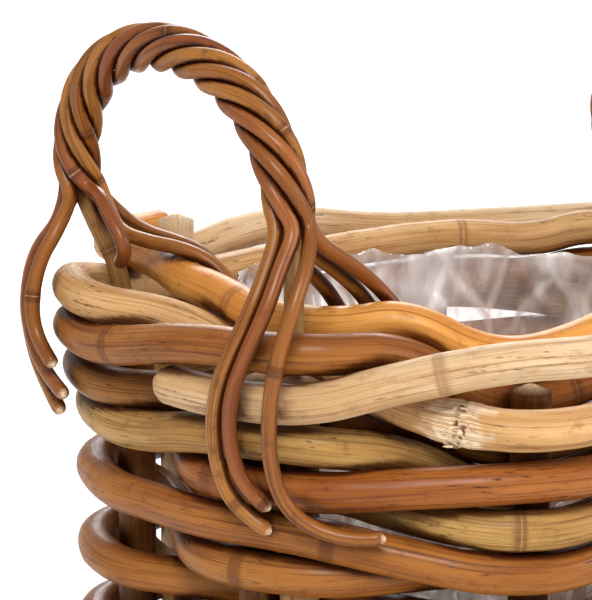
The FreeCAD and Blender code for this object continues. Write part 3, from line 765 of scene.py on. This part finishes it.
LOWER_ROUTES = ("H-{0} S+{0} A-{0} B+{0} D-{0} E+{0} F-{0} G+{0}",
                "G-{0} H+{0} S-{0} A+{0} B-{0} D+{0} E-{0} F+{0}")
LOWER_LOOKS = ((Rattan.HONEY, 0.21), (Rattan.TAN, 0.05), (Rattan.UMBER, 0.27), (Rattan.OLIVE, 0.13),
               (Rattan.COPPER, 0.3), (Rattan.OLIVE, 0.17), (Rattan.HONEY, 0.05))
WALL = (
    *(Cane(f"side_row_{row}", LOWER_ROUTES[row % 2].format(row), finish, knot)
      for row, (finish, knot) in enumerate(LOWER_LOOKS, 1)),
    Cane("side_row_8", "H-8 S+8 ~8 A-8.1 B+8.1 D-8 ~7.95 E+8 F-8 G+8", Rattan.HONEY, 0.22),
    Cane("side_row_9", "G-9 H+9 S-9 ~9.05 A+9 B+9.15 D+8.3 ~9 E-9.15 F+9", Rattan.TAN, 0.12),
    Cane("side_row_10", "H-10 S+10 ~10 A-10.2 B+10.15 D+10.5 ~10.6 E+10.4 F-10 G+10", Rattan.COPPER, 0.2),
    Cane("side_row_11", "G-11.1 H+11 ~11.03 S-10.8 ~11.05 A+10.65 ~10.8 B+11.3 ~10.95 D-9.8 ~10.9 E-11.2 F-11.05",
         Rattan.OLIVE, 0.06),
    Cane("packing_cane", "B-9.65 D+9.35 ~10.05 E-10.2", Rattan.OLIVE, 0.18, (1.0, 1.0), slot="rattan_pale"),
    Cane("border_cane_low", "A+11.6 ~11.7 B-11.4 ~11.56 D-10.85 ~11.9 E+11.5 F+11.1 G+11.5",
         Rattan.UMBER, 0.3, (1.0, 12.0), slot="rattan_dark"),
    Cane("border_cane_pale", "B+12.3 ~12.95 D+13.5 E+13.5 F+13.35 ~13.3 G+13.1 H+12.75 ~13.5 S+12.6",
         Rattan.STRAW, 0.193, (8.0, 3.0), tapers=(0.012, 0.006), slot="rattan_pale"),
    Cane("border_cane_tan", "E-12.6 F-12.3 G-12.3 ~11.84 H-11.85 S-11.85 ~12.02 A+12.7 ~13.02 B+13.5 "
                            "~13.45 D-11.95 ~12.75",
         Rattan.TAN, 0.2),
    Cane("border_cane_bent", "B-12.5 ~12.04 D+11.8 ~12.45 E+12.5 F+12.2 ~12.85 G-13.35 ~12.85 H-12.95 "
                             "~12.9 S-12.85 ~13.05 A+13.7 ~13.55",
         Rattan.GOLD, 0.25, slot="rattan_pale", kinked=True),
    Cane("border_cane_top", "S+13.75 ~14.06 A-14.05 ~13.95 B-13.6 ~13.95 D-13.0 ~13.8 E-13.7 F-13.4",
         Rattan.AMBER, 0.3, (2.0, 6.0), tapers=(0.007, 0.006)),
)


@dataclass
class Wall:
    """The woven side and the border."""

    maker: CaneMaker
    canes: tuple[Cane, ...] = WALL
    plain_mesh: tuple[float, int] = (0.004, 24)
    fine_mesh: tuple[float, int] = (0.0016, 48)

    def build(self) -> None:
        """Bend and dress every cane."""
        for number, cane in enumerate(self.canes):
            line = smooth_line(cane.points())
            step, sides = self.fine_mesh if cane.kinked else self.plain_mesh
            piece = self.maker.cane(cane.name, line, cane.finish, 1.0 + number, cane.slot,
                                    thickness=PLAN.cane_thickness, step=step, sides=sides,
                                    knot_offset=cane.knot, knot_spacing=cane.spacing,
                                    start_taper=cane.tapers[0], end_taper=cane.tapers[1])
            if cane.kinked:
                Kink().crush(piece, line)


# ---- stakes and hoops -----------------------------------------------------------------------------

@dataclass
class Stakes:
    """The uprights, and the two hoops that hold their feet."""

    maker: CaneMaker
    ordinary_top: float = 0.342
    tall_top: float = 0.390
    short_top: float = 0.345
    knot_spacing: float = 0.24
    steps: int = 12
    first_knot: float = 0.11
    knot_shift: float = 0.017
    arc_steps: int = 60

    def upright(self, name: str, azimuth: float, end: int, top: float, seed: float, finish: Rattan) -> None:
        """Make one stake."""
        turn = math.radians(azimuth)
        foot = Vector((end * PLAN.side_length / 2 + PLAN.stake_circle * math.cos(turn),
                       PLAN.stake_circle * math.sin(turn), PLAN.stake_foot))
        head = Vector((foot.x, foot.y, top))
        line = [foot.lerp(head, step / self.steps) for step in range(self.steps + 1)]
        self.maker.cane(name, line, finish, seed, "stake_rattan", thickness=PLAN.stake_thickness,
                        knot_spacing=self.knot_spacing, wobble=0.02,
                        knot_offset=self.first_knot + self.knot_shift * (seed % 5))

    def hoop(self, name: str, side: int, seed: float) -> None:
        """Make one base hoop, its ends butting in the middle of a long side."""
        radius = PLAN.stake_circle + side * (PLAN.stake_thickness + PLAN.clearance)
        half = PLAN.side_length / 2
        start = Vector((PLAN.seam_gap / 2, -radius, PLAN.base_level))
        line = [start]
        for first, centre in ((-90.0, half), (90.0, -half)):
            for step in range(self.arc_steps + 1):
                turn = math.radians(first + 180.0 * step / self.arc_steps)
                line.append(Vector((centre + radius * math.cos(turn), radius * math.sin(turn), PLAN.base_level)))
        line.append(Vector((-PLAN.seam_gap / 2, -radius, PLAN.base_level)))
        self.maker.cane(name, line, Rattan.UMBER, seed, "rattan_honey", thickness=PLAN.stake_thickness,
                        knot_offset=0.2)

    def build(self) -> None:
        """Make every stake and both hoops."""
        half_pair = math.degrees(math.asin(PLAN.pair_spacing / 2 / PLAN.stake_circle))
        for number, letter in enumerate(PLAN.letters):
            azimuth = PLAN.first_stake + PLAN.stake_pitch * number
            end = PLAN.end_of(azimuth)
            name = f"stake_{number + 1}"
            seed = 40.0 + number
            if letter in PLAN.paired:
                self.upright(name, azimuth + end * half_pair, end, self.ordinary_top, seed, Rattan.STAKE)
                self.upright(f"{name}_handle", azimuth - end * half_pair, end, self.short_top, seed + 10,
                             Rattan.LEG)
            elif letter == "S":
                self.upright(name, azimuth, end, self.tall_top, seed, Rattan.PITH)
            else:
                self.upright(name, azimuth, end, self.ordinary_top, seed, Rattan.STAKE)
        self.hoop("base_hoop_inner", -1, 60.0)
        self.hoop("base_hoop_outer", 1, 61.0)


# ---- handles --------------------------------------------------------------------------------------

BOW = (
    (-94, 172, 292), (-95, 173, 340), (-100, 176, 380), (-112, 186, 408), (-122, 194, 440),
    (-117, 195, 477), (-92, 196, 509), (-51, 195, 528), (-2, 196, 531), (43, 195, 520),
    (79, 196, 498), (100, 195, 468), (104, 192, 436), (97, 186, 407), (88, 179, 378), (85, 177, 346),
)
LEFT_ENDS = (
    ((147.3, 240, 408), (147.2, 256, 388), (147.2, 262, 360), (149.2, 259, 330), (154, 252, 309),
     (160.5, 247, 296)),
    ((151.6, 242, 409), (151.3, 257, 388), (151.6, 263, 359), (153.4, 259, 332), (157.6, 252, 316),
     (163.5, 248, 310)),
    ((155, 242, 410), (155.6, 256, 388), (156.2, 262, 360), (157.8, 258, 338), (161.5, 252, 327)),
    ((151.2, 209, 418), (154.7, 204, 405), (159.5, 189, 401), (165.5, 171, 399), (171, 154, 389),
     (174.5, 147, 374)),
    ((148.6, 200, 411), (152.5, 186, 403), (158, 171, 400), (163.5, 157, 395), (168, 149, 382),
     (170.5, 147, 368)),
    ((155.5, 216, 429), (159.5, 213, 418), (162.5, 208, 405), (162, 206, 394), (158.5, 207, 387)),
)
RIGHT_ENDS = (
    ((207, 238, 420), (206.2, 256, 394), (203.8, 261, 369), (201.6, 260, 346), (200.2, 254, 320),
     (200.2, 247, 292), (202.4, 243, 272), (207.5, 241, 260)),
    ((209.2, 240, 421), (208.6, 257, 396), (206.2, 261, 371), (204, 260, 348), (202.6, 254, 323),
     (202.8, 247, 297), (204.8, 243, 282), (207.4, 241, 274)),
    ((212.7, 237, 421), (212, 255, 397), (210.4, 261, 369), (209, 259, 334), (208.6, 251, 298),
     (211, 245, 272), (218.3, 241, 259), (224, 239, 262)),
    ((207, 194, 421), (209.5, 172, 407), (214, 153, 388), (219, 148, 365), (223.6, 147, 346)),
    ((210.8, 198, 424), (213.6, 176, 411), (218.2, 156, 393), (223.6, 149, 373), (228.8, 147, 355)),
    ((203.2, 191, 415), (204.6, 169, 402), (208.2, 151, 380), (212, 148, 355)),
)
MM = 0.001


@dataclass
class Handle:
    """One bow handle: a rod with six strands roped round it.

    The control points are in millimetres, as for the frame: across, out and up for the rod, and an
    azimuth, a radius and a height for the loose ends.
    """

    maker: CaneMaker
    side: str
    end: int
    rod_thickness: float = 0.012
    strand_thickness: float = 0.0093
    lay_start: float = 0.142
    lay_end: float = 0.478
    lay_length: float = 0.140
    rod_length: float = 0.5738
    start_angle: float = 20.0
    strands: int = 6
    steps_per_turn: int = 10
    tangent_reach: float = 0.004
    rod_mesh: tuple[float, int] = (0.004, 18)
    strand_mesh: tuple[float, int] = (0.0028, 14)
    first_knot: float = 0.05
    knot_shift: float = 0.04
    knot_spacing: float = 0.27
    taper: float = 0.004
    finishes: tuple[Rattan, ...] = (Rattan.STRAND, Rattan.STRAND_RED, Rattan.STRAND_PALE, Rattan.STRAND,
                                    Rattan.STRAND_PALE, Rattan.STRAND_RED)

    def bow(self) -> list[Vector]:
        """Return the rod's control points at the -X end."""
        half = PLAN.side_length / 2
        return [Vector((-out * MM - half, -across * MM, up * MM)) for across, out, up in BOW]

    def winding(self, line: Sequence[Vector], phase: float) -> list[Vector]:
        """Return the control points of one strand where it winds round the rod.

        Args:
            line: Points along the middle of the rod.
            phase: The strand's angle round the rod at its start, in degrees.

        Returns:
            Control points, a few for each turn.
        """
        spine = np.array([tuple(p) for p in line])
        reach = np.concatenate([[0.0], np.cumsum(np.linalg.norm(np.diff(spine, axis=0), axis=1))])
        share = reach[-1] / self.rod_length
        radius = (self.rod_thickness + self.strand_thickness) / 2 / math.cos(math.pi / self.steps_per_turn)
        steps = round((self.lay_end - self.lay_start) / self.lay_length * self.steps_per_turn)
        points = []
        for step in range(steps + 1):
            distance = (self.lay_start + (self.lay_end - self.lay_start) * step / steps) * share
            centre, ahead, behind = (
                Vector([float(np.interp(distance + shift, reach, spine[:, axis])) for axis in range(3)])
                for shift in (0.0, self.tangent_reach, -self.tangent_reach))
            tangent = (ahead - behind).normalized()
            across = tangent.cross(Vector((-1, 0, 0))).normalized()
            outward = across.cross(tangent).normalized()
            angle = math.radians(phase + self.start_angle - 360.0 * step / self.steps_per_turn)
            points.append(centre + outward * (radius * math.cos(angle)) + across * (radius * math.sin(angle)))
        return points

    def matched(self, starts: Sequence[Vector], ends: Sequence[Sequence[Vector]]) -> list[Sequence[Vector]]:
        """Give each strand the loose end that keeps all the ways across shortest."""
        def total(order: Iterable[int]) -> float:
            """Return the length of all the ways across for one order of the ends."""
            return sum((start - ends[number][0]).length for start, number in zip(starts, order))

        best = min(itertools.permutations(range(len(ends))), key=total)
        return [ends[number] for number in best]

    def mirrored(self, line: Iterable[Vector]) -> list[Vector]:
        """Return points of the -X end at this handle's end."""
        return [Vector((-self.end * p.x, p.y, p.z)) for p in line]

    def build(self) -> None:
        """Bend the rod and rope the strands."""
        base = 70.0 + 10.0 * self.end
        rod = smooth_line(self.bow())
        self.maker.cane(f"{self.side}_handle_rod", self.mirrored(rod), Rattan.LEG, base, "stake_rattan",
                        thickness=self.rod_thickness, step=self.rod_mesh[0], sides=self.rod_mesh[1])
        windings = [self.winding(rod, 360.0 * number / self.strands) for number in range(self.strands)]
        left, right = ([[PLAN.place(a, r * MM, h * MM) for a, r, h in points] for points in ends]
                       for ends in (LEFT_ENDS, RIGHT_ENDS))
        starts = self.matched([winding[0] for winding in windings], left)
        finals = self.matched([winding[-1] for winding in windings], right)
        for number, winding in enumerate(windings):
            line = smooth_line(list(starts[number])[::-1] + winding + list(finals[number]))
            self.maker.cane(f"{self.side}_handle_strand_{number + 1}", self.mirrored(line),
                            self.finishes[number], base + 1 + number, "handle_strand",
                            thickness=self.strand_thickness, step=self.strand_mesh[0],
                            sides=self.strand_mesh[1], knot_spacing=self.knot_spacing,
                            knot_offset=self.first_knot + self.knot_shift * number, knot_swell=0.09,
                            wobble=0.05, start_taper=self.taper, end_taper=self.taper)


# ---- liner ----------------------------------------------------------------------------------------

@dataclass
class Liner:
    """The loose bag of clear film inside the wall."""

    radius: float = 0.1535
    bottom: float = 0.0306
    top: float = 0.359
    columns: int = 420
    rows: int = 74
    floor_rows: int = 22
    thickness: float = 0.0003
    fold_depth: float = 0.02
    droop: float = 0.008
    curl: float = 0.006
    curl_start: float = 0.93
    floor_lift: float = 0.004
    flat: tuple[float, float] = (1.12, 0.42)

    def fold(self, point: Vector) -> float:
        """Return how far the film is folded inwards at a point, from 0 to 1."""
        skew = point.z + 0.5 * point.x
        total = 0.0
        for pitch, share, shift in ((9.0, 0.6, 0.0), (21.0, 0.34, 5.0), (47.0, 0.16, 9.0)):
            spot = Vector((point.x * pitch, point.y * pitch, skew * pitch * 0.6 + shift))
            total += share * (1.0 - min(1.0, abs(noise.noise(spot)) * 2.6))
        return min(1.0, total)

    def outline(self, share: float) -> tuple[Vector, Vector]:
        """Return a point of the oval at the liner's radius, and the way out there."""
        half = PLAN.side_length / 2
        arc = math.pi * self.radius
        run = share * (2 * arc + 2 * PLAN.side_length)
        for end in (1, -1):
            if run < arc:
                turn = run / self.radius - end * math.pi / 2
                out = Vector((math.cos(turn), math.sin(turn), 0.0))
                return Vector((end * half, 0, 0)) + out * self.radius, out
            run -= arc
            if end == 1 and run >= PLAN.side_length:
                run -= PLAN.side_length
            else:
                break
        return Vector((end * (half - run), end * self.radius, 0)), Vector((0, end, 0))

    def point(self, column: int, level: float) -> Vector:
        """Return a point of the crumpled wall, at a column and a share of the height."""
        place, out = self.outline(column / self.columns)
        sag = noise.noise(Vector((place.x * 11.0, place.y * 11.0, 3.0)))
        dip = 0.003 + 0.010 * sag + 0.004 * noise.noise(Vector((place.x * 60, place.y * 60, 7.0)))
        dip += min(self.droop, 0.25 * max(0.0, place.x - 0.03))
        height = self.bottom + (self.top - max(0.0, dip) - self.bottom) * level
        point = Vector((place.x, place.y, height))
        depth = self.fold_depth * self.fold(point) * (0.25 + 0.75 * level ** 0.5)
        curl = self.curl * max(0.0, level - self.curl_start) / (1.0 - self.curl_start)
        return point - out * (depth + curl)

    def bridge(self, shape: bmesh.types.BMesh, lower: Sequence[Any], upper: Sequence[Any]) -> None:
        """Join two rings of points with faces."""
        for column in range(self.columns):
            following = (column + 1) % self.columns
            shape.faces.new((lower[column], lower[following], upper[following], upper[column]))

    def wall(self, shape: bmesh.types.BMesh) -> list[Any]:
        """Make the wall, and return its lowest ring."""
        rings = []
        for row in range(self.rows + 1):
            rings.append([shape.verts.new(self.point(column, row / self.rows)) for column in range(self.columns)])
        for lower, upper in zip(rings, rings[1:]):
            self.bridge(shape, lower, upper)
        return rings[0]

    def floor(self, shape: bmesh.types.BMesh, rim: Sequence[Any]) -> None:
        """Close the bag inwards from the wall's lowest ring."""
        outer = rim
        for row in range(1, self.floor_rows):
            keep = 1.0 - row / self.floor_rows
            inner = []
            for vertex in rim:
                spot = Vector((vertex.co.x * keep, vertex.co.y * keep, 0.0))
                lift = self.floor_lift * abs(noise.noise(Vector((spot.x * 30.0, spot.y * 30.0, 1.0))))
                inner.append(shape.verts.new((spot.x, spot.y, self.bottom + lift)))
            self.bridge(shape, inner, outer)
            outer = inner
        centre = shape.verts.new((0.0, 0.0, self.bottom))
        for column in range(self.columns):
            shape.faces.new((centre, outer[(column + 1) % self.columns], outer[column]))

    def build(self) -> bpy.types.Object:
        """Crumple the film, close it with a floor and give it a thickness."""
        shape = bmesh.new()
        self.floor(shape, self.wall(shape))
        bmesh.ops.recalc_face_normals(shape, faces=shape.faces)
        mesh = bpy.data.meshes.new("film_bag")
        shape.to_mesh(mesh)
        shape.free()
        mesh.shade_smooth()
        mesh.materials.append(FilmFinish().material())
        piece = new_object("film_bag", mesh)
        solid = piece.modifiers.new("film", "SOLIDIFY")
        solid.thickness = self.thickness
        solid.offset = 0.0
        graph = bpy.context.evaluated_depsgraph_get()
        thick = bpy.data.meshes.new_from_object(piece.evaluated_get(graph))
        piece.modifiers.clear()
        piece.data = thick
        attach(piece, BODY)
        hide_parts("film_liner")
        LOG.info("film_bag: %d faces", len(thick.polygons))
        return piece


# ---- base -----------------------------------------------------------------------------------------

@dataclass
class Base:
    """The frame's own runners, floor sticks, nails and tacks, dressed."""

    nodes: dict[str, bpy.types.Object]

    def dress(self) -> None:
        """Give each carried-over node its finish."""
        sticks = BoardFinish("peeled_stick").material()
        runners = BoardFinish("sawn_runner", (0.56, 0.38, 0.21), (0.34, 0.19, 0.08), (260.0, 6.0, 260.0)).material()
        steel = SteelFinish().material()
        lacquer = BoardFinish("tack_lacquer", (0.3, 0.17, 0.08), (0.22, 0.11, 0.05)).material()
        for name, node in self.nodes.items():
            finish = {"floor": sticks, "base_runner": runners, "hoop_nails": steel, "liner_tacks": lacquer}
            for start, material in finish.items():
                if name.startswith(start):
                    node.data.materials.clear()
                    node.data.materials.append(material)
                    LOG.info("%s: dressed", name)


# ---- crevices -------------------------------------------------------------------------------------

@dataclass
class Crevices:
    """Painted shade, with dark varnish and dust, where canes press close together."""

    pieces: list[bpy.types.Object]
    reach: float = 0.02
    lift: float = 0.0006
    lean: float = 0.9
    full: float = 2.6

    def rays(self, normal: Vector) -> list[Vector]:
        """Return directions that look out from a surface: one straight, four leaning."""
        side = normal.orthogonal().normalized()
        other = normal.cross(side)
        leaning = [(normal + (side * a + other * b) * self.lean).normalized()
                   for a, b in ((1, 0), (-1, 0), (0, 1), (0, -1))]
        return [normal.copy(), *leaning]

    def mark(self) -> None:
        """Store on each point how much other surface stands close in front of it."""
        points: list[np.ndarray] = []
        faces: list[tuple[int, ...]] = []
        base = 0
        for piece in self.pieces:
            mesh = piece.data
            flat = np.empty(len(mesh.vertices) * 3, np.float32)
            mesh.vertices.foreach_get("co", flat)
            points.append(flat.reshape(-1, 3))
            faces += [tuple(base + index for index in face.vertices) for face in mesh.polygons]
            base += len(mesh.vertices)
        tree = BVHTree.FromPolygons(np.concatenate(points).tolist(), faces)
        for piece in self.pieces:
            mesh = piece.data
            values = np.zeros(len(mesh.vertices), np.float32)
            for vertex in mesh.vertices:
                start = vertex.co + vertex.normal * self.lift
                closed = 0.0
                for ray in self.rays(vertex.normal):
                    distance = tree.ray_cast(start, ray, self.reach)[3]
                    if distance is not None:
                        closed += 1.0 - distance / self.reach
                values[vertex.index] = min(1.0, closed / self.full)
            store = mesh.attributes.new("crevice_shade", "FLOAT", "POINT")
            store.data.foreach_set("value", values)
        LOG.info("crevices marked on %d pieces", len(self.pieces))


# ---- studio ---------------------------------------------------------------------------------------

@dataclass
class Studio:
    """Floor, lights and camera."""

    lens: float = 176.5
    azimuth: float = 40.0
    distance: float = 1.867
    height: float = 0.755
    pan: float = 2.7
    pitch: float = 12.2
    world_strength: float = 0.64
    floor_half: float = 12.0
    floor_tone: float = 0.93

    def camera(self) -> None:
        """Set the camera up."""
        data = bpy.data.cameras.new("camera")
        data.lens = self.lens
        data.sensor_width = 36.0
        data.clip_start, data.clip_end = 0.05, 60.0
        view = new_object("camera", data)
        pan, pitch = math.radians(self.pan), math.radians(self.pitch)
        ahead = Vector((-math.sin(pan) * math.cos(pitch), math.cos(pan) * math.cos(pitch), -math.sin(pitch)))
        turn = Matrix.Rotation(math.radians(-self.azimuth), 3, "Z")
        start = turn @ Vector((0.0, -self.distance, 0.0))
        view.location = (start.x - PLAN.side_length / 2, start.y, self.height)
        view.rotation_euler = (turn @ ahead).to_track_quat("-Z", "Y").to_euler()
        bpy.context.scene.camera = view

    def light(self, name: str, place: RGB, size: float, power: float, colour: RGB) -> None:
        """Add one soft light that faces the basket."""
        data = bpy.data.lights.new(name, "AREA")
        data.shape = "SQUARE"
        data.size = size
        data.energy = power
        data.color = colour
        lamp = new_object(name, data)
        lamp.location = place
        lamp.rotation_euler = (Vector((0, 0, 0.3)) - Vector(place)).to_track_quat("-Z", "Y").to_euler()

    def build(self) -> None:
        """Make the stage."""
        world = bpy.data.worlds.new("studio")
        world.use_nodes = True
        back = world.node_tree.nodes["Background"]
        back.inputs[0].default_value = (1.0, 1.0, 1.0, 1.0)
        back.inputs[1].default_value = self.world_strength
        bpy.context.scene.world = world
        bpy.context.scene.view_settings.view_transform = "Standard"
        shape = bmesh.new()
        bmesh.ops.create_grid(shape, x_segments=2, y_segments=2, size=self.floor_half)
        mesh = bpy.data.meshes.new("floor")
        shape.to_mesh(mesh)
        shape.free()
        floor = new_object("floor", mesh)
        paint = bpy.data.materials.new("pale_floor")
        paint.use_nodes = True
        skin = paint.node_tree.nodes["Principled BSDF"]
        skin.inputs["Base Color"].default_value = (*[self.floor_tone] * 3, 1.0)
        skin.inputs["Roughness"].default_value = 0.9
        mesh.materials.append(paint)
        self.light("key", (-1.4, -1.6, 2.2), 1.0, 52.0, (1.0, 0.97, 0.93))
        self.light("fill", (1.6, -2.6, 1.3), 1.4, 30.0, (0.97, 0.98, 1.0))
        self.light("back", (3.2, 4.2, 3.4), 3.0, 260.0, (1.0, 0.99, 0.98))
        self.camera()


def main() -> None:
    """Build the basket's looks in order."""
    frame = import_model()
    maker = CaneMaker(rattan_group(), cane_tree())
    Studio().build()
    Wall(maker).build()
    Stakes(maker).build()
    for side, end in (("left", -1), ("right", 1)):
        Handle(maker, side, end).build()
    Crevices(maker.made).mark()
    Liner().build()
    Base(frame["nodes"]).dress()


if __name__ == "__main__":
    main()
